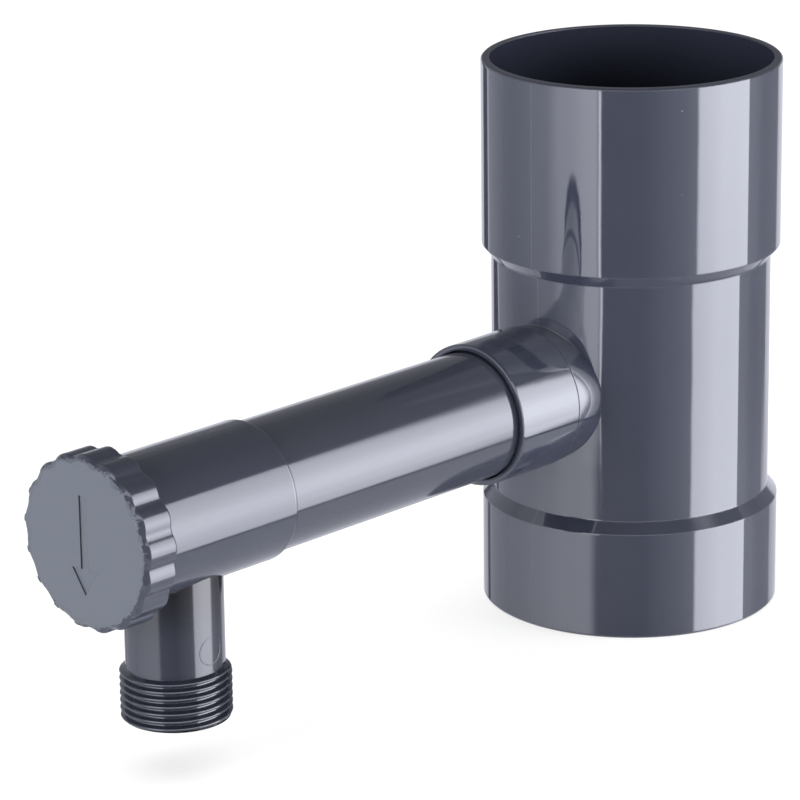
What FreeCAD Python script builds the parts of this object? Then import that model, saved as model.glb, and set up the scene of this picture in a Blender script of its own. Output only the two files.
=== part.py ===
import FreeCAD, Part
import math
import os

from FreeCAD import Placement, Rotation, Vector

# Rainwater diverter with a draw-off arm, in millimetres.
# The body's axis is Z and the lower socket's mouth is at height 0.
# The arm points along -Y. Its parts are drawn upright, with their height as the reach from the
# body's axis, and are then laid over onto the arm's axis.

# Downpipe and body
pipe_diameter = 90.0
pipe_play = 0.35
body_wall = 2.7
lower_socket_depth = 34.7
middle_length = 84.5
upper_socket_depth = 60.3
step_height = 3.7
rim_chamfer = 0.6

# Catch ring, which gathers the water that runs down the wall, and the shoulder that carries it
ring_play = 0.12
ring_wall = 2.2
overflow_radius = 31.0
overflow_above_branch = 7.0
shoulder_width = 1.3

# Arm
arm_height = 77.9
arm_diameter = 40.6
arm_wall = 1.9
arm_length = 135.5
glue_gap = 0.05

# Side branch on the body, with the socket for the arm
branch_reach = 77.0
branch_socket_depth = 26.5
collar_reach = 51.2
collar_radius = 22.65
collar_mouth_radius = 22.5
neck_radius = 21.45
mouth_play = 0.45
mouth_taper_length = 15.0

# Valve housing and its hose outlet
housing_radius = 21.6
housing_socket_depth = 11.1
housing_past_seal = 14.45
valve_bore_radius = 19.2
snap_bead_height = 0.5
snap_bead_width = 1.8
snap_bead_setback = 3.4
outlet_radius = 14.8
outlet_bore_radius = 12.3
outlet_foot_height = 16.0
thread_length = 16.7
thread_core_radius = 15.145
thread_chamfer = 0.4

# Knob with its hollow plug
knob_depth = 11.5
knob_plate = 2.7
knob_play = 0.3
knob_crest_radius = 26.6
knob_valley_radius = 25.5
flute_count = 17
flute_round = 3.6
knob_face_chamfer = 1.1
snap_play = 0.35
plug_play = 0.1
plug_wall = 2.8
plug_end_gap = 0.9
plug_end_land = 1.6
port_radius = 11.0

# Seals on the plug
seal_width = 2.7
seal_depth = 1.4
seal_play = 0.05
seal_side_play = 0.1
seal_to_port = 4.4
seal_behind_port = 3.1

# Arrow sunk into the knob's face
arrow_depth = 0.45
arrow_shaft_width = 3.0
arrow_shaft_top = 14.5
arrow_head_base = -7.7
arrow_head_width = 10.6
arrow_tip = -15.4

# Radii and heights that follow from the sizes above
pipe_radius = pipe_diameter / 2
socket_bore_radius = pipe_radius + pipe_play
socket_radius = socket_bore_radius + body_wall
middle_bore_radius = pipe_radius - body_wall
lower_stop = lower_socket_depth
upper_stop = lower_stop + middle_length
body_height = upper_stop + upper_socket_depth

arm_radius = arm_diameter / 2
arm_bore_radius = arm_radius - arm_wall
trough_floor = arm_height - arm_bore_radius
shoulder_top = trough_floor - ring_wall
arm_socket_radius = arm_radius + glue_gap
branch_stop = branch_reach - branch_socket_depth
arm_end = branch_stop + arm_length

plug_radius = valve_bore_radius - plug_play
plug_bore_radius = plug_radius - plug_wall
plug_start = arm_end + plug_end_gap
seal_radius = valve_bore_radius - seal_play
groove_radius = plug_radius - seal_depth
groove_width = seal_width + 2 * seal_side_play
rear_seal_reach = plug_start + plug_end_land + groove_width / 2
outlet_reach = rear_seal_reach + seal_behind_port + outlet_bore_radius
front_seal_reach = outlet_reach + outlet_bore_radius + seal_to_port

housing_start = arm_end - housing_socket_depth
housing_end = front_seal_reach + housing_past_seal
knob_plate_back = housing_end + knob_play
knob_face = knob_plate_back + knob_plate
knob_back = knob_face - knob_depth
bead_reach = housing_end - snap_bead_setback

overshoot = 2.0


def turned(corners):
    # A solid of revolution about Z from the corners of its section, given as (radius, height).
    points = [Vector(radius, 0, height) for radius, height in corners]
    face = Part.Face(Part.makePolygon(points + points[:1]))
    return face.revolve(Vector(0, 0, 0), Vector(0, 0, 1), 360)


def rod(radius, start, end):
    return Part.makeCylinder(radius, end - start, Vector(0, 0, start))


def laid_on_arm(shape):
    # Height above the drawing plane becomes reach along the arm, and the drawing's +Y becomes up.
    laid = shape.copy()
    laid.Placement = Placement(Vector(0, 0, arm_height), Rotation(Vector(1, 0, 0), 90))
    return laid


def at_outlet(shape):
    stood = shape.copy()
    stood.translate(Vector(0, -outlet_reach, 0))
    return stood


def one_solid(shape):
    clean = shape.removeSplitter()
    if len(clean.Solids) != 1:
        raise ValueError(f"expected one solid and got {len(clean.Solids)}")
    return clean.Solids[0]


def make_body():
    shoulder_radius = middle_bore_radius - shoulder_width
    wall = turned([
        (socket_bore_radius, 0),
        (socket_radius - rim_chamfer, 0),
        (socket_radius, rim_chamfer),
        (socket_radius, lower_stop),
        (pipe_radius, lower_stop + step_height),
        (pipe_radius, upper_stop - step_height),
        (socket_radius, upper_stop),
        (socket_radius, body_height - rim_chamfer),
        (socket_radius - rim_chamfer, body_height),
        (socket_bore_radius, body_height),
        (socket_bore_radius, upper_stop),
        (middle_bore_radius, upper_stop),
        (middle_bore_radius, shoulder_top),
        (shoulder_radius, shoulder_top),
        (shoulder_radius, lower_stop),
        (socket_bore_radius, lower_stop),
    ])
    root_reach = math.sqrt(pipe_radius**2 - neck_radius**2)
    branch = laid_on_arm(turned([
        (0, root_reach / 2),
        (neck_radius, root_reach / 2),
        (neck_radius, root_reach),
        (collar_radius, collar_reach),
        (collar_mouth_radius, branch_reach),
        (0, branch_reach),
    ]))
    inside = rod(middle_bore_radius, lower_stop, upper_stop)
    bore = laid_on_arm(turned([
        (0, 0),
        (arm_bore_radius, 0),
        (arm_bore_radius, branch_stop),
        (arm_socket_radius, branch_stop),
        (arm_socket_radius, branch_reach - mouth_taper_length),
        (arm_radius + mouth_play, branch_reach),
        (arm_radius + mouth_play, branch_reach + overshoot),
        (0, branch_reach + overshoot),
    ]))
    return one_solid(wall.fuse(branch.cut(inside)).cut(bore))


def make_catch_ring():
    rim_radius = middle_bore_radius - ring_play
    dam_radius = overflow_radius + ring_wall
    dam_top = arm_height + arm_bore_radius + overflow_above_branch
    return one_solid(turned([
        (overflow_radius, shoulder_top),
        (rim_radius, shoulder_top),
        (rim_radius, trough_floor),
        (dam_radius, trough_floor),
        (dam_radius, dam_top),
        (overflow_radius, dam_top),
    ]))


def make_arm_pipe():
    return one_solid(laid_on_arm(turned([
        (arm_bore_radius, branch_stop),
        (arm_radius, branch_stop),
        (arm_radius, arm_end),
        (arm_bore_radius, arm_end),
    ])))


def make_valve_housing():
    bead_half = snap_bead_width / 2
    barrel = laid_on_arm(turned([
        (0, housing_start),
        (housing_radius, housing_start),
        (housing_radius, bead_reach - bead_half),
        (housing_radius + snap_bead_height, bead_reach),
        (housing_radius, bead_reach + bead_half),
        (housing_radius, housing_end),
        (0, housing_end),
    ]))
    bore = laid_on_arm(turned([
        (0, housing_start - overshoot),
        (arm_socket_radius, housing_start - overshoot),
        (arm_socket_radius, arm_end),
        (valve_bore_radius, arm_end),
        (valve_bore_radius, housing_end + overshoot),
        (0, housing_end + overshoot),
    ]))
    thread_top = outlet_foot_height + thread_length
    outlet = at_outlet(turned([
        (0, outlet_foot_height),
        (thread_core_radius - thread_chamfer, outlet_foot_height),
        (thread_core_radius, outlet_foot_height + thread_chamfer),
        (thread_core_radius, thread_top),
        (outlet_radius, thread_top),
        (outlet_radius, arm_height),
        (0, arm_height),
    ]))
    outlet_bore = at_outlet(rod(outlet_bore_radius, outlet_foot_height - overshoot, arm_height))
    return one_solid(barrel.fuse(outlet).cut(bore).cut(outlet_bore))


def fluted_face(reach):
    # Crest and valley arcs that run into each other without a corner, with a crest pointing up.
    half_pitch = math.pi / flute_count
    crest_centre = knob_crest_radius - flute_round
    slack = knob_valley_radius - crest_centre * math.cos(half_pitch) - flute_round
    lift = (
        flute_round**2
        - crest_centre**2
        - knob_valley_radius**2
        + 2 * crest_centre * knob_valley_radius * math.cos(half_pitch)
    )
    valley_round = lift / (2 * slack)
    valley_centre = knob_valley_radius + valley_round
    share = flute_round / (flute_round + valley_round)

    def place(radius, angle):
        return Vector(radius * math.cos(angle), radius * math.sin(angle), reach)

    def join(crest_angle, valley_angle):
        crest = place(crest_centre, crest_angle)
        valley = place(valley_centre, valley_angle)
        return crest + (valley - crest) * share

    edges = []
    for i in range(flute_count):
        crest = math.pi / 2 + 2 * half_pitch * i
        before = join(crest, crest - half_pitch)
        after = join(crest, crest + half_pitch)
        following = join(crest + 2 * half_pitch, crest + half_pitch)
        tip = place(knob_crest_radius, crest)
        dip = place(knob_valley_radius, crest + half_pitch)
        edges.append(Part.Arc(before, tip, after).toShape())
        edges.append(Part.Arc(after, dip, following).toShape())
    return Part.Face(Part.Wire(edges))


def edges_at(shape, reach):
    flat = 1e-6
    found = []
    for edge in shape.Edges:
        box = edge.BoundBox
        if abs(box.ZMin - reach) < flat and abs(box.ZMax - reach) < flat:
            found.append(edge)
    return found


def make_arrow():
    half_shaft = arrow_shaft_width / 2
    half_head = arrow_head_width / 2
    right_side = [
        (half_shaft, arrow_shaft_top),
        (half_shaft, arrow_head_base),
        (half_head, arrow_head_base),
    ]
    left_side = [(-x, y) for x, y in reversed(right_side)]
    corners = right_side + [(0, arrow_tip)] + left_side
    sole = knob_face - arrow_depth
    points = [Vector(x, y, sole) for x, y in corners]
    face = Part.Face(Part.makePolygon(points + points[:1]))
    return face.extrude(Vector(0, 0, arrow_depth + overshoot))


def make_knob():
    cap = fluted_face(knob_back).extrude(Vector(0, 0, knob_depth))
    cap = cap.makeChamfer(knob_face_chamfer, edges_at(cap, knob_face))
    skirt_bore_radius = housing_radius + knob_play
    groove_half = snap_bead_width / 2 + snap_play
    groove_floor = housing_radius + snap_bead_height + snap_play
    hollow = turned([
        (0, knob_back - overshoot),
        (skirt_bore_radius, knob_back - overshoot),
        (skirt_bore_radius, bead_reach - groove_half),
        (groove_floor, bead_reach),
        (skirt_bore_radius, bead_reach + groove_half),
        (skirt_bore_radius, knob_plate_back),
        (0, knob_plate_back),
    ])
    plug = turned([
        (plug_bore_radius, plug_start),
        (plug_radius, plug_start),
        (plug_radius, rear_seal_reach - groove_width / 2),
        (groove_radius, rear_seal_reach - groove_width / 2),
        (groove_radius, rear_seal_reach + groove_width / 2),
        (plug_radius, rear_seal_reach + groove_width / 2),
        (plug_radius, front_seal_reach - groove_width / 2),
        (groove_radius, front_seal_reach - groove_width / 2),
        (groove_radius, front_seal_reach + groove_width / 2),
        (plug_radius, front_seal_reach + groove_width / 2),
        (plug_radius, knob_face - knob_plate / 2),
        (plug_bore_radius, knob_face - knob_plate / 2),
    ])
    port = Part.makeCylinder(
        port_radius, plug_radius + overshoot, Vector(0, 0, outlet_reach), Vector(0, -1, 0)
    )
    knob = cap.cut(hollow).fuse(plug).cut(port).cut(make_arrow())
    return one_solid(laid_on_arm(knob))


def make_seal(reach):
    half = seal_width / 2
    return one_solid(laid_on_arm(turned([
        (groove_radius, reach - half),
        (seal_radius, reach - half),
        (seal_radius, reach + half),
        (groove_radius, reach + half),
    ])))


def save(name, shape):
    if not shape.isValid():
        raise ValueError(f"{name} is not a valid solid")
    shape.exportStep(f"parts/{name}.step")
    box = shape.BoundBox
    print(f"{name}: {shape.Volume:.0f} mm3, {box.XLength:.1f} x {box.YLength:.1f} x {box.ZLength:.1f}")


os.makedirs("parts", exist_ok=True)
save("diverter_body", make_body())
save("catch_ring", make_catch_ring())
save("arm_pipe", make_arm_pipe())
save("valve_housing", make_valve_housing())
save("valve_knob", make_knob())
save("plug_seal_front", make_seal(front_seal_reach))
save("plug_seal_rear", make_seal(rear_seal_reach))
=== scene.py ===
import math

import bmesh
import bpy
from mathutils import Matrix, Vector
from mathutils.bvhtree import BVHTree


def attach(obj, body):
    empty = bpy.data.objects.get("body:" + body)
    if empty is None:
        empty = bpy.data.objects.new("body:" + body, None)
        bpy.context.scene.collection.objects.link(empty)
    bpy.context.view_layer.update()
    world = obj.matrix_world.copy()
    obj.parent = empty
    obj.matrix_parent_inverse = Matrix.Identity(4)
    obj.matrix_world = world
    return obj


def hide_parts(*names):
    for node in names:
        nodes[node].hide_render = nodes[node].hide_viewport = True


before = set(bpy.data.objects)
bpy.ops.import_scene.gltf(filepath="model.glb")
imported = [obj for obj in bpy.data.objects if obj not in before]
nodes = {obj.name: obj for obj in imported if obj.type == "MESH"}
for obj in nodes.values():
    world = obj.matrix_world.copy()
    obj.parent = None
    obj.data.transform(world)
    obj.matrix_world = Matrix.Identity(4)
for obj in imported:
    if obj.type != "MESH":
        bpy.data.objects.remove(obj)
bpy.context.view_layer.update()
mm = 0.001
mergeDistance = 1e-7  # points nearer than this become one


# Mesh helpers

def addMesh(name, verts, faces, material, body, smoothAngle):
    mesh = bpy.data.meshes.new(name)
    mesh.from_pydata(verts, [], faces)
    mesh.update()
    bm = bmesh.new()
    bm.from_mesh(mesh)
    bmesh.ops.remove_doubles(bm, verts=bm.verts, dist=mergeDistance)
    bmesh.ops.dissolve_degenerate(bm, edges=bm.edges, dist=mergeDistance)
    bmesh.ops.recalc_face_normals(bm, faces=bm.faces)
    bm.to_mesh(mesh)
    bm.free()
    mesh.shade_smooth()
    mesh.set_sharp_from_angle(angle=math.radians(smoothAngle))
    mesh.materials.append(material)
    piece = bpy.data.objects.new(name, mesh)
    bpy.context.collection.objects.link(piece)
    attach(piece, body)
    return piece


def surfaceTree(piece):
    mesh = piece.data
    verts = [v.co.copy() for v in mesh.vertices]
    return BVHTree.FromPolygons(verts, [tuple(p.vertices) for p in mesh.polygons])


# Camera

cameraSettings = {
    "location": (0.822862, -0.969308, 0.461564),
    "aim": (-0.0222, -0.0853, 0.0803),
    "roll": -0.745,  # degrees about the line of sight
    "lens": 183.535,
    "sensorWidth": 36,
    "clip": (0.05, 60),
}


def makeCamera(settings):
    data = bpy.data.cameras.new("photoCamera")
    data.lens = settings["lens"]
    data.sensor_width = settings["sensorWidth"]
    data.clip_start, data.clip_end = settings["clip"]
    camera = bpy.data.objects.new("photoCamera", data)
    bpy.context.collection.objects.link(camera)
    location = Vector(settings["location"])
    sight = (Vector(settings["aim"]) - location).to_track_quat("-Z", "Y").to_matrix().to_4x4()
    roll = Matrix.Rotation(math.radians(settings["roll"]), 4, "Z")
    camera.matrix_world = Matrix.Translation(location) @ sight @ roll
    bpy.context.scene.camera = camera


makeCamera(cameraSettings)
bpy.context.scene.view_settings.view_transform = "Standard"
print("camera placed")


# Node helpers

def addNode(tree, kind, values=None, **settings):
    node = tree.nodes.new(kind)
    for name, value in settings.items():
        setattr(node, name, value)
    for name, value in (values or {}).items():
        node.inputs[name].default_value = value
    return node


def addMath(tree, operation, first, second=None):
    node = addNode(tree, "ShaderNodeMath", operation=operation)
    for index, value in enumerate((first, second)):
        if value is None:
            continue
        if isinstance(value, (int, float)):
            node.inputs[index].default_value = value
        else:
            tree.links.new(value, node.inputs[index])
    return node.outputs[0]


def addRamp(tree, stops, source):
    ramp = addNode(tree, "ShaderNodeValToRGB")
    elements = ramp.color_ramp.elements
    while len(elements) < len(stops):
        elements.new(0.5)
    for element, (position, value) in zip(elements, stops):
        element.position = position
        element.color = (value, value, value, 1)
    tree.links.new(source, ramp.inputs[0])
    return ramp.outputs[0]


def addRange(tree, source, fromMin, fromMax, toMin, toMax, smooth=False):
    node = addNode(tree, "ShaderNodeMapRange")
    node.interpolation_type = "SMOOTHSTEP" if smooth else "LINEAR"
    for index, value in enumerate((fromMin, fromMax, toMin, toMax), 1):
        node.inputs[index].default_value = value
    tree.links.new(source, node.inputs[0])
    return node.outputs[0]


# Studio: what the gloss sees, lamps and floor

studio = {
    "panelTint": (0.945, 0.96, 1.06),
    "gain": 0.5,
    "lowest": -27,  # elevations in degrees that the tall panels span
    "highest": 31,
    "lowestBlend": (-0.8, 0.4),  # degrees over which the panels fade in and out at their ends
    "highestBlend": (-0.8, 0.8),
    # elevations between which one belt of the surroundings passes into the next
    "lowToMiddle": (-19, -16.5),
    "middleToHigh": (1, 9),
    "overheadToTop": (44, 52),
    "topLevel": 0.5,
    "groundFrom": -80,
    "groundLevels": (0.9, 2.0),
    "gapLevel": 0.25,  # the dark strip between the ground and the panels
    "gapBlend": (-3.0, -1.6),
    # brightness of the panels by elevation
    "sheen": [(-27, 0.75), (-20, 0.93), (-16.4, 0.91), (-14, 1.0), (-5, 1.22), (4, 1.25),
              (15, 1.05), (31, 0.85)],
    "sheenSpan": 40,
    "sheenLimit": 2,
    # soft light that only matt surfaces get, by elevation
    "fillLevels": (0.22, 0.02),
    "fillBlend": (5, 40),
    "lampTarget": (0, -0.09, 0.08),
    "lampDistance": 1.5,
    "lampSize": 0.9,
    "keyAzimuth": 30,
    "keyPower": 19,
    "sideAzimuth": -100,
    "sidePower": 19,
    "lampElevation": 18,
    "floorLampHeight": 1.6,
    "floorLampSize": 2.2,
    "floorLampPower": 60,
    "floorGlow": 0.7,
    "floorColour": (0.85, 0.85, 0.85, 1),
    "floorReach": 8,
    "floorDrop": 0.0001,
}

# Brightness of the surroundings by azimuth in degrees, in belts of elevation
lowBelt = [
    (-180, 1.5), (-163, 1.7), (-141, 2.35), (-129, 2.9), (-117, 3.3), (-106, 3.8), (-96, 3.9),
    (-86, 4.1), (-81, 3.9), (-75, 0.9), (-39, 0.6), (-30, 0.9), (-9, 1.5), (1.5, 2.2), (3.5, 11.2),
    (25, 13.0), (50, 11.4), (52.5, 2.6), (71, 1.3), (92, 0.95), (94.5, 2.5), (134, 1.7), (160, 1.8),
    (162.5, 0.3), (166.5, 0.3), (168.5, 1.5),
]
middleBelt = [
    (-180, 1.4), (-163, 1.15), (-154, 1.1), (-141, 1.4), (-129, 1.9), (-117, 2.2), (-106, 4.1),
    (-96, 4.4), (-86, 5.4), (-76.0, 5.9), (-75.3, 2.2), (-74.6, 2.2), (-74.0, 13.0), (-72.8, 13.0),
    (-72.0, 0.5), (-39, 0.5), (-30, 0.8), (-9, 1.4), (1.5, 2.1), (3.5, 11.2), (25, 13.0),
    (50, 11.4), (52.5, 2.3), (71, 1.0), (99.5, 0.7), (100.7, 2.6), (134, 1.6), (153, 2.1),
    (155, 0.2), (166.0, 0.2), (167.4, 3.0), (170.5, 1.35),
]
highBelt = [
    (-180, 1.2), (-141, 1.2), (-117, 2.2), (-106, 4.1), (-86, 6.3), (-74.3, 6.9), (-72.3, 0.5),
    (-39, 0.6), (-9, 1.5), (1.5, 2.2), (3.5, 11.2), (25, 13.0), (50, 11.4), (52.5, 2.4), (71, 0.9),
    (99, 0.6), (140, 0.7), (172, 1.2),
]
overheadBelt = [
    (-180, 0.8), (-125, 2.0), (-105, 6.0), (-5, 6.0), (20, 4.0), (40, 0.8), (100, 0.5), (172, 0.5),
]
brightest = 13.5  # the ramps hold shares of this


def makeWorld(settings):
    world = bpy.data.worlds.new("studio")
    bpy.context.scene.world = world
    world.use_nodes = True
    tree = world.node_tree
    tree.nodes.clear()
    coords = addNode(tree, "ShaderNodeTexCoord")
    split = addNode(tree, "ShaderNodeSeparateXYZ")
    tree.links.new(coords.outputs["Generated"], split.inputs[0])
    azimuth = addMath(tree, "ARCTAN2", split.outputs[1], split.outputs[0])
    turn = addRange(tree, azimuth, -math.pi, math.pi, 0, 1)
    rise = addMath(tree, "ARCSINE", split.outputs[2])
    degrees = addMath(tree, "MULTIPLY", rise, 180 / math.pi)

    def belt(levels):
        stops = [((angle + 180) / 360, level / brightest) for angle, level in levels]
        return addMath(tree, "MULTIPLY", addRamp(tree, stops, turn), brightest)

    def blend(share, first, second):
        mix = addNode(tree, "ShaderNodeMix", data_type="FLOAT")
        for index, value in ((0, share), (2, first), (3, second)):
            if isinstance(value, (int, float)):
                mix.inputs[index].default_value = value
            else:
                tree.links.new(value, mix.inputs[index])
        return mix.outputs[0]

    def above(span, middle=0):
        # 0 under a span of elevations and 1 over it
        return addRange(tree, degrees, middle + span[0], middle + span[1], 0, 1, True)

    lowest = settings["lowest"]
    highest = settings["highest"]
    nearGround = addRange(tree, degrees, *settings["lowToMiddle"], 1, 0, True)
    atObject = blend(nearGround, belt(middleBelt), belt(lowBelt))
    panels = blend(above(settings["middleToHigh"]), atObject, belt(highBelt))
    span, limit = settings["sheenSpan"], settings["sheenLimit"]
    sheen = [((height + span) / (2 * span), level / limit) for height, level in settings["sheen"]]
    rising = addRange(tree, degrees, -span, span, 0, 1)
    brightening = addMath(tree, "MULTIPLY", addRamp(tree, sheen, rising), limit)
    boosted = addMath(tree, "MULTIPLY", panels, brightening)
    ground = addRange(tree, degrees, settings["groundFrom"], lowest, *settings["groundLevels"])
    underPanels = blend(above(settings["gapBlend"], lowest), ground, settings["gapLevel"])
    lower = blend(above(settings["lowestBlend"], lowest), underPanels, boosted)
    overhead = blend(above(settings["overheadToTop"]), belt(overheadBelt), settings["topLevel"])
    seen = blend(above(settings["highestBlend"], highest), lower, overhead)
    level = addMath(tree, "MULTIPLY", seen, settings["gain"])
    glossLight = addNode(tree, "ShaderNodeBackground", {"Color": (*settings["panelTint"], 1)})
    tree.links.new(level, glossLight.inputs["Strength"])
    fillLevel = addRange(tree, degrees, *settings["fillBlend"], *settings["fillLevels"], True)
    softFill = addNode(tree, "ShaderNodeBackground", {"Color": (1, 1, 1, 1)})
    tree.links.new(fillLevel, softFill.inputs["Strength"])
    backdrop = addNode(tree, "ShaderNodeBackground", {"Color": (1, 1, 1, 1), "Strength": 1.0})
    path = addNode(tree, "ShaderNodeLightPath")
    glossMix = addNode(tree, "ShaderNodeMixShader")
    tree.links.new(path.outputs["Is Glossy Ray"], glossMix.inputs[0])
    tree.links.new(softFill.outputs[0], glossMix.inputs[1])
    tree.links.new(glossLight.outputs[0], glossMix.inputs[2])
    cameraMix = addNode(tree, "ShaderNodeMixShader")
    tree.links.new(path.outputs["Is Camera Ray"], cameraMix.inputs[0])
    tree.links.new(glossMix.outputs[0], cameraMix.inputs[1])
    tree.links.new(backdrop.outputs[0], cameraMix.inputs[2])
    output = addNode(tree, "ShaderNodeOutputWorld")
    tree.links.new(cameraMix.outputs[0], output.inputs[0])


def makeLamp(name, azimuth, power, settings):
    data = bpy.data.lights.new(name, "AREA")
    data.shape = "SQUARE"
    data.size = settings["lampSize"]
    data.energy = power
    lamp = bpy.data.objects.new(name, data)
    bpy.context.collection.objects.link(lamp)
    turn = math.radians(azimuth)
    rise = math.radians(settings["lampElevation"])
    reach = settings["lampDistance"]
    flat = math.cos(rise)
    offset = Vector((flat * math.cos(turn), flat * math.sin(turn), math.sin(rise)))
    lamp.location = Vector(settings["lampTarget"]) + offset * reach
    lamp.rotation_euler = (-offset).to_track_quat("-Z", "Y").to_euler()
    lamp.visible_glossy = False


def makeFloor(settings):
    material = bpy.data.materials.new("paleFloor")
    material.use_nodes = True
    tree = material.node_tree
    tree.nodes.clear()
    paint = addNode(tree, "ShaderNodeBsdfDiffuse", {"Color": settings["floorColour"]})
    glow = addNode(tree, "ShaderNodeEmission", {"Color": (1, 1, 1, 1), "Strength": 1.0})
    path = addNode(tree, "ShaderNodeLightPath")
    share = addMath(tree, "MULTIPLY", path.outputs["Is Camera Ray"], settings["floorGlow"])
    mix = addNode(tree, "ShaderNodeMixShader")
    tree.links.new(share, mix.inputs[0])
    tree.links.new(paint.outputs[0], mix.inputs[1])
    tree.links.new(glow.outputs[0], mix.inputs[2])
    output = addNode(tree, "ShaderNodeOutputMaterial")
    tree.links.new(mix.outputs[0], output.inputs[0])
    mesh = bpy.data.meshes.new("floor")
    reach = settings["floorReach"]
    corners = [(-reach, -reach), (reach, -reach), (reach, reach), (-reach, reach)]
    mesh.from_pydata([(x, y, -settings["floorDrop"]) for x, y in corners], [], [(0, 1, 2, 3)])
    mesh.materials.append(material)
    floor = bpy.data.objects.new("floor", mesh)
    bpy.context.collection.objects.link(floor)
    floor.visible_glossy = False
    return floor


def makeFloorLamp(settings, floor):
    # Lights the floor only, so that it is white and still takes the object's shadow
    data = bpy.data.lights.new("floorLamp", "AREA")
    data.shape = "SQUARE"
    data.size = settings["floorLampSize"]
    data.energy = settings["floorLampPower"]
    lamp = bpy.data.objects.new("floorLamp", data)
    bpy.context.collection.objects.link(lamp)
    lamp.location = (*settings["lampTarget"][:2], settings["floorLampHeight"])
    lamp.visible_glossy = False
    lit = bpy.data.collections.new("floorOnly")
    lit.objects.link(floor)
    lamp.light_linking.receiver_collection = lit


makeWorld(studio)
makeLamp("keyLamp", studio["keyAzimuth"], studio["keyPower"], studio)
makeLamp("sideLamp", studio["sideAzimuth"], studio["sidePower"], studio)
makeFloorLamp(studio, makeFloor(studio))
print("studio lit")


# Finishes

def makeGroup(name, inputs, outputs):
    group = bpy.data.node_groups.new(name, "ShaderNodeTree")
    for socketName, kind, value in inputs:
        socket = group.interface.new_socket(socketName, in_out="INPUT", socket_type=kind)
        if value is not None:
            socket.default_value = value
    for socketName, kind in outputs:
        group.interface.new_socket(socketName, in_out="OUTPUT", socket_type=kind)
    enter = group.nodes.new("NodeGroupInput")
    leave = group.nodes.new("NodeGroupOutput")
    return group, enter, leave


def makeMottle():
    # Slow drift in colour and gloss, as moulded plastic has where it cooled unevenly, and dust
    speckSize = 0.035
    dustColour = (0.3, 0.31, 0.34, 1)
    group, enter, leave = makeGroup(
        "mottledPlastic",
        [("Colour", "NodeSocketColor", (0.05, 0.05, 0.06, 1)),
         ("Colour Drift", "NodeSocketFloat", 0.08),
         ("Gloss Roughness", "NodeSocketFloat", 0.12),
         ("Roughness Drift", "NodeSocketFloat", 0.05),
         ("Patch Scale", "NodeSocketFloat", 60.0),
         ("Speck Scale", "NodeSocketFloat", 170.0),
         ("Speck Share", "NodeSocketFloat", 0.05)],
        [("Colour", "NodeSocketColor"), ("Roughness", "NodeSocketFloat")],
    )
    coords = addNode(group, "ShaderNodeTexCoord")
    noise = addNode(group, "ShaderNodeTexNoise", {"Detail": 3.0, "Roughness": 0.55})
    group.links.new(coords.outputs["Object"], noise.inputs["Vector"])
    group.links.new(enter.outputs["Patch Scale"], noise.inputs["Scale"])
    swing = addMath(group, "MULTIPLY", addMath(group, "SUBTRACT", noise.outputs[0], 0.5), 2.0)
    drift = addMath(group, "MULTIPLY", swing, enter.outputs["Colour Drift"])
    shade = addMath(group, "ADD", drift, 1.0)
    tinted = addNode(group, "ShaderNodeVectorMath", operation="SCALE")
    group.links.new(enter.outputs["Colour"], tinted.inputs[0])
    group.links.new(shade, tinted.inputs["Scale"])
    rough = addMath(
        group, "ADD", enter.outputs["Gloss Roughness"],
        addMath(group, "MULTIPLY", swing, enter.outputs["Roughness Drift"]),
    )
    cells = addNode(group, "ShaderNodeTexVoronoi")
    group.links.new(coords.outputs["Object"], cells.inputs["Vector"])
    group.links.new(enter.outputs["Speck Scale"], cells.inputs["Scale"])
    near = addMath(group, "LESS_THAN", cells.outputs["Distance"], speckSize)
    pick = addNode(group, "ShaderNodeSeparateColor")
    group.links.new(cells.outputs["Color"], pick.inputs[0])
    chosen = addMath(group, "LESS_THAN", pick.outputs[0], enter.outputs["Speck Share"])
    dust = addNode(group, "ShaderNodeMix", {"B": dustColour}, data_type="RGBA")
    group.links.new(addMath(group, "MULTIPLY", near, chosen), dust.inputs["Factor"])
    group.links.new(tinted.outputs[0], dust.inputs["A"])
    group.links.new(dust.outputs["Result"], leave.inputs["Colour"])
    group.links.new(rough, leave.inputs["Roughness"])
    return group


def makeSkin():
    # Rounds the edges by a shader bevel and lays fine unevenness over the skin
    group, enter, leave = makeGroup(
        "mouldedSkin",
        [("Edge Radius", "NodeSocketFloat", 0.0005),
         ("Wave Scale", "NodeSocketFloat", 40.0),
         ("Wave Height", "NodeSocketFloat", 0.00005),
         ("Grain Scale", "NodeSocketFloat", 1500.0),
         ("Grain Height", "NodeSocketFloat", 0.000004),
         ("Stretch", "NodeSocketVector", (1.0, 1.0, 1.0))],
        [("Normal", "NodeSocketVector")],
    )
    coords = addNode(group, "ShaderNodeTexCoord")
    stretched = addNode(group, "ShaderNodeVectorMath", operation="MULTIPLY")
    group.links.new(coords.outputs["Object"], stretched.inputs[0])
    group.links.new(enter.outputs["Stretch"], stretched.inputs[1])
    rounded = addNode(group, "ShaderNodeBevel", samples=6)
    group.links.new(enter.outputs["Edge Radius"], rounded.inputs["Radius"])
    previous = rounded.outputs[0]
    for word in ("Wave", "Grain"):
        noise = addNode(group, "ShaderNodeTexNoise", {"Detail": 2.0, "Roughness": 0.5})
        group.links.new(stretched.outputs[0], noise.inputs["Vector"])
        group.links.new(enter.outputs[word + " Scale"], noise.inputs["Scale"])
        height = addMath(group, "MULTIPLY", noise.outputs[0], enter.outputs[word + " Height"])
        bump = addNode(group, "ShaderNodeBump", {"Strength": 1.0, "Distance": 1.0})
        group.links.new(height, bump.inputs["Height"])
        group.links.new(previous, bump.inputs["Normal"])
        previous = bump.outputs[0]
    group.links.new(previous, leave.inputs["Normal"])
    return group


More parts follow.
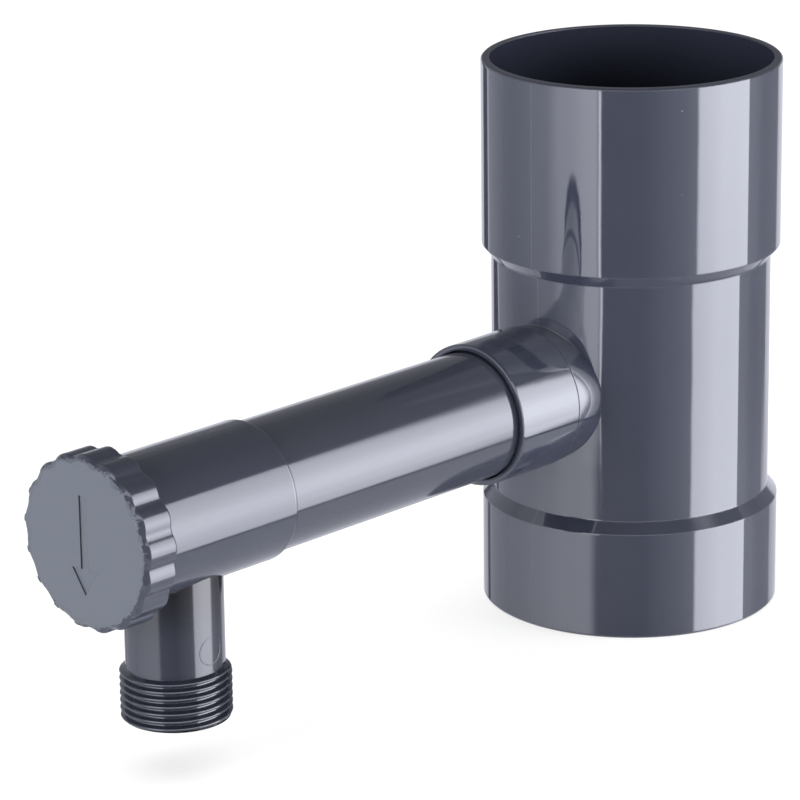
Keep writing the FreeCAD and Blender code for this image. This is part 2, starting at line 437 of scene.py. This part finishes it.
def makeZoneMask():
    # 1 inside a cylinder round a line, between two heights along it, rising from Start to Full
    edge = 0.0001
    raggedScale = 700.0
    group, enter, leave = makeGroup(
        "zoneMask",
        [("Line Point", "NodeSocketVector", (0, 0, 0)),
         ("Line Direction", "NodeSocketVector", (0, 0, 1)),
         ("Within", "NodeSocketFloat", 1.0),
         ("Start", "NodeSocketFloat", 0.0),
         ("Full", "NodeSocketFloat", 0.001),
         ("Above", "NodeSocketFloat", -10.0),
         ("Below", "NodeSocketFloat", 10.0),
         ("Ragged", "NodeSocketFloat", 0.0)],
        [("Mask", "NodeSocketFloat")],
    )
    coords = addNode(group, "ShaderNodeTexCoord")

    def vectorMath(operation, first, second, output=0):
        node = addNode(group, "ShaderNodeVectorMath", operation=operation)
        group.links.new(first, node.inputs[0])
        if second is not None:
            socket = "Scale" if operation == "SCALE" else 1
            group.links.new(second, node.inputs[socket])
        return node.outputs[output]

    direction = enter.outputs["Line Direction"]
    along = vectorMath("DOT_PRODUCT", coords.outputs["Object"], direction, 1)
    offset = vectorMath("SUBTRACT", coords.outputs["Object"], enter.outputs["Line Point"])
    shadow = vectorMath("SCALE", direction, vectorMath("DOT_PRODUCT", offset, direction, 1))
    distance = vectorMath("LENGTH", vectorMath("SUBTRACT", offset, shadow), None, 1)
    noise = addNode(group, "ShaderNodeTexNoise", {"Scale": raggedScale, "Detail": 2.0})
    group.links.new(coords.outputs["Object"], noise.inputs["Vector"])
    swing = addMath(group, "MULTIPLY", addMath(group, "SUBTRACT", noise.outputs[0], 0.5), 4.0)
    ragged = addMath(group, "MULTIPLY", swing, enter.outputs["Ragged"])
    reach = addMath(group, "ADD", enter.outputs["Within"], ragged)
    inside = addRange(group, addMath(group, "SUBTRACT", distance, reach), -edge, edge, 1, 0)
    overAbove = addMath(group, "SUBTRACT", along, enter.outputs["Above"])
    overBelow = addMath(group, "SUBTRACT", along, enter.outputs["Below"])
    high = addRange(group, overAbove, -edge, 0, 0, 1)
    low = addRange(group, overBelow, 0, edge, 1, 0)
    span = addMath(group, "SUBTRACT", enter.outputs["Full"], enter.outputs["Start"])
    climbed = addMath(group, "SUBTRACT", along, enter.outputs["Start"])
    share = addRange(group, addMath(group, "DIVIDE", climbed, span), 0, 1, 0, 1)
    between = addMath(group, "MULTIPLY", high, low)
    mask = addMath(group, "MULTIPLY", addMath(group, "MULTIPLY", share, inside), between)
    group.links.new(mask, leave.inputs["Mask"])
    return group


mottledPlastic = makeMottle()
mouldedSkin = makeSkin()
zoneMask = makeZoneMask()


def makePlastic(name, look):
    material = bpy.data.materials.new(name)
    material.use_nodes = True
    tree = material.node_tree
    shader = tree.nodes["Principled BSDF"]
    shader.inputs["Specular IOR Level"].default_value = look["gloss"]
    mottle = addNode(tree, "ShaderNodeGroup", node_tree=mottledPlastic)
    skin = addNode(tree, "ShaderNodeGroup", node_tree=mouldedSkin)
    for socketName, value in look["mottle"].items():
        mottle.inputs[socketName].default_value = value
    for socketName, value in look["skin"].items():
        skin.inputs[socketName].default_value = value
    tree.links.new(mottle.outputs["Colour"], shader.inputs["Base Color"])
    tree.links.new(mottle.outputs["Roughness"], shader.inputs["Roughness"])
    tree.links.new(skin.outputs["Normal"], shader.inputs["Normal"])
    for zone in look.get("zones", ()):
        addZone(tree, shader, zone)
    return material


glossyMouldingLook = {
    "gloss": 1.0,
    "mottle": {"Colour": (0.038, 0.043, 0.067, 1), "Colour Drift": 0.06, "Gloss Roughness": 0.05,
               "Roughness Drift": 0.02, "Patch Scale": 60.0},
    "skin": {"Edge Radius": 0.0006, "Wave Scale": 45.0, "Wave Height": 0.00006,
             "Grain Scale": 1500.0, "Grain Height": 0.000001},
    "zones": [
        # the inside of the body: painted shade, and a duller gloss
        {"mask": {"Within": 0.0456, "Start": 0.182, "Full": 0.148, "Above": 0.1191},
         "strength": 0.9, "Base Color": (0.001, 0.0012, 0.002, 1), "Roughness": 0.22},
        {"mask": {"Within": 0.0436, "Start": 0.1193, "Full": 0.1192},
         "strength": 0.85, "Base Color": (0.001, 0.0012, 0.002, 1), "Roughness": 0.22},
        # the cut edge of the upper socket: rough, with painted shade in its darker colour
        {"mask": {"Start": 0.17905, "Full": 0.17925},
         "strength": 1.0, "Base Color": (0.018, 0.020, 0.030, 1), "Roughness": 0.5},
    ],
}
fineMouldingLook = {
    "gloss": 1.0,
    "mottle": {"Colour": (0.038, 0.043, 0.067, 1), "Colour Drift": 0.06, "Gloss Roughness": 0.06,
               "Roughness Drift": 0.02, "Patch Scale": 60.0},
    "skin": {"Edge Radius": 0.00006, "Wave Scale": 45.0, "Wave Height": 0.00006,
             "Grain Scale": 1500.0, "Grain Height": 0.000001},
}
# darker than the housing's plastic: painted shade under the barrel, on the thread and the outlet's
# seams
threadPaintedShadeLook = {
    "gloss": 1.0,
    "mottle": {"Colour": (0.020, 0.023, 0.036, 1), "Colour Drift": 0.06, "Gloss Roughness": 0.07,
               "Roughness Drift": 0.02, "Patch Scale": 60.0},
    "skin": {"Edge Radius": 0.00005, "Wave Scale": 45.0, "Wave Height": 0.00005,
             "Grain Scale": 1500.0, "Grain Height": 0.000001},
}
# lighter than the body's plastic: a painted highlight on the seam ridges and the arrow's burr
ridgeHighlightLook = {
    "gloss": 1.0,
    "mottle": {"Colour": (0.10, 0.11, 0.14, 1), "Colour Drift": 0.3, "Gloss Roughness": 0.25,
               "Roughness Drift": 0.05, "Patch Scale": 150.0},
    "skin": {"Edge Radius": 0.00005, "Wave Scale": 300.0, "Wave Height": 0.00001,
             "Grain Scale": 1500.0, "Grain Height": 0.000001},
}
satinPipeLook = {
    "gloss": 0.78,
    "mottle": {"Colour": (0.042, 0.047, 0.066, 1), "Colour Drift": 0.06, "Gloss Roughness": 0.10,
               "Roughness Drift": 0.03, "Patch Scale": 40.0},
    "skin": {"Edge Radius": 0.0003, "Wave Scale": 70.0, "Wave Height": 0.00006,
             "Grain Scale": 900.0, "Grain Height": 0.000003, "Stretch": (1.0, 0.03, 1.0)},
}
housingMouldingLook = {
    "gloss": 0.72,
    "mottle": {"Colour": (0.042, 0.047, 0.069, 1), "Colour Drift": 0.06, "Gloss Roughness": 0.09,
               "Roughness Drift": 0.03, "Patch Scale": 50.0},
    "skin": {"Edge Radius": 0.00025, "Wave Scale": 50.0, "Wave Height": 0.00005,
             "Grain Scale": 1800.0, "Grain Height": 0.0000015},
    "zones": [
        # the outlet below the barrel, darker: painted shade
        {"mask": {"Line Point": (0, -0.20535, 0), "Within": 0.0152,
                  "Start": 0.0640, "Full": 0.0635},
         "strength": 1.0, "Base Color": (0.025, 0.028, 0.043, 1), "Roughness": 0.09},
        # its root: deeper painted shade under the barrel
        {"mask": {"Line Point": (0, -0.20535, 0), "Within": 0.0152,
                  "Start": 0.044, "Full": 0.060, "Below": 0.0637},
         "strength": 0.9, "Base Color": (0.001, 0.001, 0.002, 1), "Roughness": 0.09},
    ],
}
knobMouldingLook = {
    "gloss": 0.75,
    "mottle": {"Colour": (0.040, 0.045, 0.066, 1), "Colour Drift": 0.05, "Gloss Roughness": 0.18,
               "Roughness Drift": 0.05, "Patch Scale": 80.0},
    "skin": {"Edge Radius": 0.00025, "Wave Scale": 60.0, "Wave Height": 0.00004,
             "Grain Scale": 2200.0, "Grain Height": 0.000003},
    "zones": [
        # the matt face, with its ragged edge
        {"mask": {"Line Point": (-0.0003, 0, 0.0782), "Line Direction": (0, 1, 0),
                  "Within": 0.0249, "Start": -0.2388, "Full": -0.23885, "Ragged": 0.0006},
         "strength": 1.0, "Base Color": (0.088, 0.100, 0.123, 1), "Roughness": 0.55},
        # painted shade on the arrow's left walls
        {"mask": {"Line Point": (-0.00150, -0.23928, 0), "Within": 0.00022,
                  "Start": 0.0925, "Full": 0.0924, "Above": 0.0703},
         "strength": 0.95, "Base Color": (0.004, 0.005, 0.008, 1), "Roughness": 0.55},
        {"mask": {"Line Point": (0, -0.23928, 0.0625), "Line Direction": (0.567, 0, -0.8237),
                  "Within": 0.00022, "Start": -0.0513, "Full": -0.0514, "Above": -0.0607},
         "strength": 0.95, "Base Color": (0.004, 0.005, 0.008, 1), "Roughness": 0.55},
    ],
}
sealRubberLook = {
    "gloss": 0.5,
    "mottle": {"Colour": (0.014, 0.014, 0.015, 1), "Colour Drift": 0.1, "Gloss Roughness": 0.45,
               "Roughness Drift": 0.08, "Patch Scale": 120.0, "Speck Share": 0.0},
    "skin": {"Edge Radius": 0.0005, "Wave Scale": 90.0, "Wave Height": 0.00003,
             "Grain Scale": 3000.0, "Grain Height": 0.000004},
}


def addZone(tree, shader, zone):
    # Mixes another finish in where the zone's mask lies
    mask = addNode(tree, "ShaderNodeGroup", node_tree=zoneMask)
    for socketName, value in zone["mask"].items():
        mask.inputs[socketName].default_value = value
    share = addMath(tree, "MULTIPLY", mask.outputs["Mask"], zone["strength"])
    for socketName in ("Base Color", "Roughness"):
        socket = shader.inputs[socketName]
        dataType = "RGBA" if socketName == "Base Color" else "FLOAT"
        mix = addNode(tree, "ShaderNodeMix", data_type=dataType)
        inputs = [i for i in mix.inputs if i.enabled]
        tree.links.new(share, inputs[0])
        tree.links.new(socket.links[0].from_socket, inputs[1])
        inputs[2].default_value = zone[socketName]
        tree.links.new([o for o in mix.outputs if o.enabled][0], socket)


glossyMoulding = makePlastic("glossyMoulding", glossyMouldingLook)
fineMoulding = makePlastic("fineMoulding", fineMouldingLook)
threadPaintedShade = makePlastic("threadPaintedShade", threadPaintedShadeLook)
ridgeHighlight = makePlastic("ridgeHighlight", ridgeHighlightLook)
satinPipe = makePlastic("satinPipe", satinPipeLook)
housingMoulding = makePlastic("housingMoulding", housingMouldingLook)
knobMoulding = makePlastic("knobMoulding", knobMouldingLook)
sealRubber = makePlastic("sealRubber", sealRubberLook)

finishes = {
    "diverter_body": glossyMoulding,
    "catch_ring": glossyMoulding,
    "arm_pipe": satinPipe,
    "valve_housing": housingMoulding,
    "valve_knob": knobMoulding,
    "plug_seal_front": sealRubber,
    "plug_seal_rear": sealRubber,
}
for name, material in finishes.items():
    mesh = nodes[name].data
    if not mesh.materials:
        mesh.materials.append(material)
    for slot in nodes[name].material_slots:
        slot.material = material
print("finishes made")


# Housing: its own mesh again, with the outlet's core ending under the thread's last ridge.
# Lengths in metres.

housingFit = {
    "outletAxis": (0, -0.20535),
    "coreTop": (0.0320, 0.0330),
    "coreRadii": (0.0147, 0.0152),
    "lowering": 0.0012,
}


def makeHousingSkin(settings):
    skin = nodes["valve_housing"].copy()
    skin.data = skin.data.copy()
    skin.name = "housingSkin"
    bpy.context.collection.objects.link(skin)
    ax, ay = settings["outletAxis"]
    low, high = settings["coreTop"]
    near, far = settings["coreRadii"]
    for vertex in skin.data.vertices:
        x, y, z = vertex.co
        if low < z < high and near < math.hypot(x - ax, y - ay) < far:
            vertex.co.z = z - settings["lowering"]
    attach(skin, "diverter")
    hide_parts("valve_housing")


makeHousingSkin(housingFit)
print("housing fitted")


# Hose thread, lengths in millimetres

hoseThread = {
    "centre": (0, -205.35),
    "coreRadius": 15.165,
    "innerRadius": 14.6,
    "pitch": 2.309,
    "crestAt": 31.30,  # height of one crest at the azimuth below
    "crestAzimuth": -46,
    "bottom": 16.42,
    "top": 33.6,
    "bottomRadius": 16.0,
    "fadeFrom": 38,  # azimuths between which the last ridge runs out
    "fadeTo": 66,
    "nickDepth": 0.13,  # small dents in the crests where the mould's halves meet
    "coreEnd": 0.45,  # share of the pitch over the last ridge where the core has gone
    "coreFade": 0.3,
    "lining": 0.1,  # thickness inside the inner radius
    "columns": 192,
    # half of the section: distance from the crest's middle, height over the core
    "section": [(0, 1.479), (0.03, 1.476), (0.06, 1.466), (0.09, 1.451), (0.33, 1.329),
                (0.36, 1.29), (0.45, 1.10), (0.65, 0.55), (0.82, 0.17), (0.9, 0.05),
                (0.98, 0.01), (1.1545, 0)],
}


def makeHoseThread(settings):
    half = settings["section"]
    section = [(-z, h) for z, h in reversed(half[1:])][1:] + half
    rowsPerTurn = len(section)
    pitch = settings["pitch"]
    columns = settings["columns"]
    start = settings["crestAt"] - pitch * math.radians(settings["crestAzimuth"]) / (2 * math.pi)
    spare = 2  # turns beyond each end
    firstTurn = math.floor((settings["bottom"] - start) / pitch) - spare
    turns = math.ceil((settings["top"] - settings["bottom"]) / pitch) + 2 * spare + 1
    rows = turns * rowsPerTurn
    core = settings["coreRadius"]
    inner = settings["innerRadius"]
    cx, cy = settings["centre"]

    def reaching(index):
        # 1 up to a ridge, falling to 0 above it
        return min(max((settings["coreEnd"] - index) / settings["coreFade"], 0), 1)

    def point(row, column):
        turn, step = divmod(row, rowsPerTurn)
        offset, ridge = section[step]
        angle = 2 * math.pi * column / columns
        azimuth = 360 * column / columns
        fade = (settings["fadeTo"] - azimuth) / (settings["fadeTo"] - settings["fadeFrom"])
        fade = min(max(fade, 0), 1)
        ridgeNumber = firstTurn + turn
        z = start + pitch * (ridgeNumber + column / columns) + offset
        index = ridgeNumber + offset / pitch
        if ridgeNumber > 0:
            ridge = 0
        if ridgeNumber == 0:
            ridge *= fade
        if column in (columns // 4, columns * 3 // 4):
            ridge = min(ridge, half[0][1] - settings["nickDepth"])
        base = inner + (core - inner) * max(reaching(index + 1), fade * reaching(index))
        z = min(max(z, settings["bottom"]), settings["top"])
        radius = min(base + ridge, settings["bottomRadius"] + z - settings["bottom"])
        return (cx + radius * math.cos(angle)) * mm, (cy + radius * math.sin(angle)) * mm, z * mm

    verts = []
    for column in range(columns):
        for row in range(rows):
            verts.append(point(row, column))
    faces = []
    for column in range(columns):
        shift = rowsPerTurn if column == columns - 1 else 0
        following = (column + 1) % columns
        for row in range(rows - 1):
            a = column * rows + row
            b = following * rows + row + shift
            if row + shift + 1 < rows:
                faces.append((a, b, b + 1, a + 1))
    base = len(verts)
    lined = inner - settings["lining"]
    for column in range(columns):
        angle = 2 * math.pi * column / columns
        x = (cx + lined * math.cos(angle)) * mm
        y = (cy + lined * math.sin(angle)) * mm
        verts.append((x, y, settings["bottom"] * mm))
        verts.append((x, y, settings["top"] * mm))
    for column in range(columns):
        following = (column + 1) % columns
        a = base + 2 * column
        b = base + 2 * following
        faces.append((a, a + 1, b + 1, b))
        lowA = column * rows
        lowB = following * rows
        highA = column * rows + rows - 1
        highB = following * rows + rows - 1
        faces.append((lowA, a, b, lowB))
        faces.append((highA, highB, b + 1, a + 1))
    # the thread's darker colour is painted shade under the barrel
    addMesh("hoseThread", verts, faces, threadPaintedShade, "diverter",
            smoothAngle=35)


makeHoseThread(hoseThread)
print("thread cut")


# Rings round the arm's axis, in millimetres

def ringRow(reach, radii, height):
    # one closed row of points, with a radius for each column
    turns = [2 * math.pi * column / len(radii) for column in range(len(radii))]
    return [(r * math.sin(a), -reach, height + r * math.cos(a)) for r, a in zip(radii, turns)]


def addRows(name, rows, material, body, smoothAngle):
    count = len(rows)
    columns = len(rows[0])
    verts = [tuple(c * mm for c in point) for row in rows for point in row]
    faces = []
    for row in range(count):
        nextRow = (row + 1) % count
        for column in range(columns):
            after = (column + 1) % columns
            faces.append((row * columns + column, row * columns + after,
                          nextRow * columns + after, nextRow * columns + column))
    return addMesh(name, verts, faces, material, body, smoothAngle)


def makeTurned(name, settings):
    # The section is a list of (reach, radius)
    columns = settings["columns"]
    height = settings["axisHeight"]
    rows = [ringRow(reach, [radius] * columns, height) for reach, radius in settings["section"]]
    return addRows(name, rows, fineMoulding, "diverter", smoothAngle=35)


# Branch: the collar's skin with its lip, and the neck that swells between collar and tube

collar = {
    "axisHeight": 77.9,
    "columns": 160,
    "section": [(51.14, 22.2), (51.14, 22.72), (51.17, 22.76), (51.24, 22.785), (51.4, 22.79),
                (51.7, 22.788), (75.9, 22.612), (76.3, 22.6), (76.7, 22.55), (76.93, 22.42),
                (77.05, 22.2), (77.07, 21.9), (77.07, 21.1), (77.0, 20.92), (76.8, 20.8),
                (76.0, 20.79), (75.2, 21.6), (52.0, 21.9)],
}
branchNeck = {
    "axisHeight": 77.9,
    "columns": 160,
    "radius": 22.70,
    "from": 50.86,  # reach from the body's axis
    "tubeRadius": 45.0,
    "sunk": 0.9,  # how far it runs on into the tube
    "wall": 1.0,
    "topDrop": 0.66,  # how far the neck falls towards the tube at its top and at its sides
    "topBend": 1.0,
    "sideDrop": 0.72,
    "sideBend": 2.0,
    "edgeShares": [0, 0.004, 0.012, 0.025, 0.05],  # rows near the collar, as shares of the length
    "rows": 24,
    "edgeRound": 0.06,
    "edgeLength": 0.012,
}


def makeBranchNeck(settings):
    height = settings["axisHeight"]
    columns = settings["columns"]
    turns = [2 * math.pi * column / columns for column in range(columns)]
    shares = list(settings["edgeShares"])
    first = shares[-1]
    count = settings["rows"]
    shares += [first + (1 - first) * step / count for step in range(1, count + 1)]
    full = settings["radius"]
    near = settings["from"]
    length = settings["edgeLength"]
    # the neck's profile along its top and along its sides
    topDrop, sideDrop = settings["topDrop"], settings["sideDrop"]
    topBend, sideBend = settings["topBend"], settings["sideBend"]
    outer = []
    inner = []
    for share in shares:
        edge = max(length - share, 0) / length
        outerRow = []
        innerRow = []
        for a in turns:
            swell = math.sin(a) ** 2
            tubeReach = math.sqrt(settings["tubeRadius"] ** 2 - (full * math.sin(a)) ** 2)
            reach = near + (tubeReach - settings["sunk"] - near) * share
            drop = topDrop + (sideDrop - topDrop) * swell
            bend = topBend + (sideBend - topBend) * swell
            into = (near - reach) / (near - tubeReach)
            radius = full - drop * max(into, 0) ** bend - settings["edgeRound"] * edge ** 2
            small = radius - settings["wall"]
            for row, r in ((outerRow, radius), (innerRow, small)):
                row.append((r * math.sin(a), -reach, height + r * math.cos(a)))
        outer.append(outerRow)
        inner.append(innerRow)
    addRows("branchNeck", outer + inner[::-1], fineMoulding, "diverter",
            smoothAngle=35)


collarSkin = makeTurned("collarSkin", collar)
makeBranchNeck(branchNeck)
print("branch shaped")


# Rounded end of the valve housing's barrel

housingEdge = {
    "axisHeight": 77.9,
    "columns": 160,
    "section": [(175.9, 21.4), (175.9, 21.615), (175.6, 21.625), (175.35, 21.625),
                (175.15, 21.60), (175.0, 21.52), (174.92, 21.4), (174.88, 21.25),
                (174.88, 21.0), (174.88, 20.62), (175.2, 20.58)],
}
makeTurned("housingEdge", housingEdge)
print("housing's edge rounded")


# The knob's own mesh again, with its chamfer drawn back under the rim's. Lengths in metres.

knobFit = {
    "axisHeight": 0.0779,
    "footReach": (0.2380, 0.2388),  # points of the chamfer's foot, and where they go
    "footOutside": 0.0250,
    "footTo": 0.2374,
    "faceReach": 0.23945,  # points of the face's edge, and how far they go inwards
    "faceOutside": 0.0235,
    "faceInset": 0.0011,
}


def makeKnobSkin(settings):
    skin = nodes["valve_knob"].copy()
    skin.data = skin.data.copy()
    skin.name = "knobSkin"
    bpy.context.collection.objects.link(skin)
    low, high = settings["footReach"]
    height = settings["axisHeight"]
    for vertex in skin.data.vertices:
        x, y, z = vertex.co
        radius = math.hypot(x, z - height)
        if low < -y < high and radius > settings["footOutside"]:
            vertex.co.y = -settings["footTo"]
        elif -y > settings["faceReach"] and radius > settings["faceOutside"]:
            share = (radius - settings["faceInset"]) / radius
            vertex.co.x = x * share
            vertex.co.z = height + (z - height) * share
    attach(skin, "knob")
    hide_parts("valve_knob")


makeKnobSkin(knobFit)
print("knob fitted")


# Knob rim: wide rounded flutes with narrow valleys, over the solid's own, in millimetres

knobRim = {
    "axisHeight": 77.9,
    "flutes": 17,
    "crestRadius": 26.63,
    "valleyRadius": 25.53,
    "fluteRound": 6.2,
    "perFlute": 24,
    # the rim's section: reach of each row and how far it lies inside the fluted outline
    "section": [(228.3, 1.6), (227.97, 1.5), (227.97, 0.25), (228.03, 0.1), (228.2, 0.0),
                (228.5, 0.0), (237.5, 0.0), (237.7, 0.0), (237.86, 0.04), (238.0, 0.12),
                (238.1, 0.2), (239.27, 1.42), (239.38, 1.56), (239.46, 1.70), (239.52, 1.86),
                (239.53, 2.1), (239.53, 2.6), (239.0, 2.7)],
}


def flutedRadius(angle, settings):
    # Distance from the axis to the outline of crest and valley arcs, at an angle from a crest
    halfPitch = math.pi / settings["flutes"]
    crest = settings["crestRadius"]
    valley = settings["valleyRadius"]
    rounding = settings["fluteRound"]
    centre = crest - rounding
    slack = valley - centre * math.cos(halfPitch) - rounding
    lift = rounding ** 2 - centre ** 2 - valley ** 2 + 2 * centre * valley * math.cos(halfPitch)
    valleyRound = lift / (2 * slack)
    valleyCentre = valley + valleyRound
    share = rounding / (rounding + valleyRound)
    jx = centre + (valleyCentre * math.cos(halfPitch) - centre) * share
    jy = valleyCentre * math.sin(halfPitch) * share
    joinAngle = math.atan2(jy, jx)
    turn = abs((angle + halfPitch) % (2 * halfPitch) - halfPitch)
    if turn <= joinAngle:
        side = centre * math.sin(turn)
        return centre * math.cos(turn) + math.sqrt(rounding ** 2 - side ** 2)
    off = halfPitch - turn
    side = valleyCentre * math.sin(off)
    return valleyCentre * math.cos(off) - math.sqrt(valleyRound ** 2 - side ** 2)


def makeKnobRim(settings):
    columns = settings["flutes"] * settings["perFlute"]
    outline = [flutedRadius(2 * math.pi * column / columns, settings) for column in range(columns)]
    rows = []
    for reach, inset in settings["section"]:
        radii = [radius - inset for radius in outline]
        rows.append(ringRow(reach, radii, settings["axisHeight"]))
    addRows("knobRim", rows, knobMoulding, "knob", smoothAngle=50)


makeKnobRim(knobRim)
print("knob fluted")


# Parting lines of the moulds and the gate's ring, in metres

partingLines = {
    "width": 0.0002,
    "height": 0.00004,
    "gateWidth": 0.00035,
    "gateHeight": 0.0001,
    "gateRadius": 0.0042,
    "gateCentre": (0.1, -0.2048, 0.0395),
    "gateColumns": 48,
    # surface, start of the cast with None along the line, from, to, step, direction of the cast
    "runs": {
        "seamFrontLow": ("body", (0, -0.3, None), 0.0008, 0.0545, 0.0012, (0, 1, 0)),
        "seamFrontHigh": ("body", (0, -0.3, None), 0.1007, 0.1787, 0.0012, (0, 1, 0)),
        "seamBack": ("body", (0, 0.3, None), 0.0008, 0.1787, 0.0012, (0, -1, 0)),
        "seamCollarTop": ("collar", (0.00001, None, 0.15), -0.0767, -0.0514, 0.001, (0, 0, -1)),
        "seamCollarLow": ("collar", (0.00001, None, 0.02), -0.0767, -0.0514, 0.001, (0, 0, 1)),
        "seamHousingTop": ("barrel", (0, None, 0.15), -0.1752, -0.2262, 0.002, (0, 0, -1)),
        "seamOutletFront": ("outlet", (0, -0.3, None), 0.0337, 0.0555, 0.001, (0, 1, 0)),
        "seamOutletBack": ("outlet", (0, -0.12, None), 0.0337, 0.0555, 0.001, (0, -1, 0)),
    },
}


def addRidge(name, stations, width, height, material, closed=False,
             body="diverter"):
    # Stations are points on the skin with the skin's normal there; the section is in shares of
    # the width and the height
    count = len(stations)
    section = ((-0.5, -1.2), (-0.5, 0.0), (-0.3, 0.75), (0.0, 1.0), (0.3, 0.75), (0.5, 0.0),
               (0.5, -1.2))
    verts = []
    for index, (point, normal) in enumerate(stations):
        if closed:
            before = stations[index - 1][0]
            after = stations[(index + 1) % count][0]
        else:
            before = stations[max(index - 1, 0)][0]
            after = stations[min(index + 1, count - 1)][0]
        side = (after - before).normalized().cross(normal).normalized()
        for across, up in section:
            verts.append(point + side * (across * width) + normal * (up * height))
    size = len(section)
    faces = []
    for index in range(count if closed else count - 1):
        following = (index + 1) % count
        for step in range(size):
            nextStep = (step + 1) % size
            faces.append((index * size + step, following * size + step,
                          following * size + nextStep, index * size + nextStep))
    if not closed:
        faces.append(tuple(range(size)))
        faces.append(tuple(range((count - 1) * size, count * size)))
    addMesh(name, [tuple(v) for v in verts], faces, material, body, smoothAngle=60)


def castStations(tree, starts, direction):
    stations = []
    for start in starts:
        point, normal, _, _ = tree.ray_cast(Vector(start), Vector(direction))
        if point is not None:
            stations.append((point, normal))
    return stations


def spread(first, last, step):
    count = max(int(abs(last - first) / step), 2)
    return [first + (last - first) * i / count for i in range(count + 1)]


def makePartingLines(settings):
    housingTree = surfaceTree(nodes["valve_housing"])
    surfaces = {
        # the body's seams take the lighter colour, a painted highlight
        "body": (surfaceTree(nodes["diverter_body"]), ridgeHighlight),
        "collar": (surfaceTree(collarSkin), fineMoulding),
        "barrel": (housingTree, fineMoulding),
        "outlet": (housingTree, threadPaintedShade),
    }
    width, height = settings["width"], settings["height"]
    for name, (surface, start, first, last, step, direction) in settings["runs"].items():
        tree, material = surfaces[surface]
        starts = [[value if c is None else c for c in start] for value in spread(first, last, step)]
        addRidge(name, castStations(tree, starts, direction), width, height, material)
    radius = settings["gateRadius"]
    x, y, z = settings["gateCentre"]
    starts = []
    for step in range(settings["gateColumns"]):
        turn = 2 * math.pi * step / settings["gateColumns"]
        starts.append((x, y + radius * math.cos(turn), z + radius * math.sin(turn)))
    ring = castStations(housingTree, starts, (-1, 0, 0))
    addRidge("gateRing", ring, settings["gateWidth"], settings["gateHeight"], fineMoulding,
             closed=True)


makePartingLines(partingLines)
print("seams laid")


# Fine burr along the right edges of the sunk arrow, lighter in colour as a painted highlight, in
# metres

arrowBurrHighlight = {
    "face": -0.2395,
    "centre": 0.0779,
    "corners": [(0.00156, 0.0145), (0.00156, -0.00764), (0.0054, -0.00764), (0.0001, -0.0154)],
    "steps": 4,
    "width": 0.00018,
    "height": 0.00004,
}


def makeArrowBurrHighlight(settings):
    corners = settings["corners"]
    outward = Vector((0, -1, 0))
    for number, (start, end) in enumerate(zip(corners, corners[1:]), 1):
        stations = []
        for step in range(settings["steps"] + 1):
            share = step / settings["steps"]
            x = start[0] + (end[0] - start[0]) * share
            z = start[1] + (end[1] - start[1]) * share + settings["centre"]
            stations.append((Vector((x, settings["face"], z)), outward))
        addRidge(f"arrowBurrHighlight{number}", stations, settings["width"], settings["height"],
                 ridgeHighlight, body="knob")


makeArrowBurrHighlight(arrowBurrHighlight)
print("arrow edged")
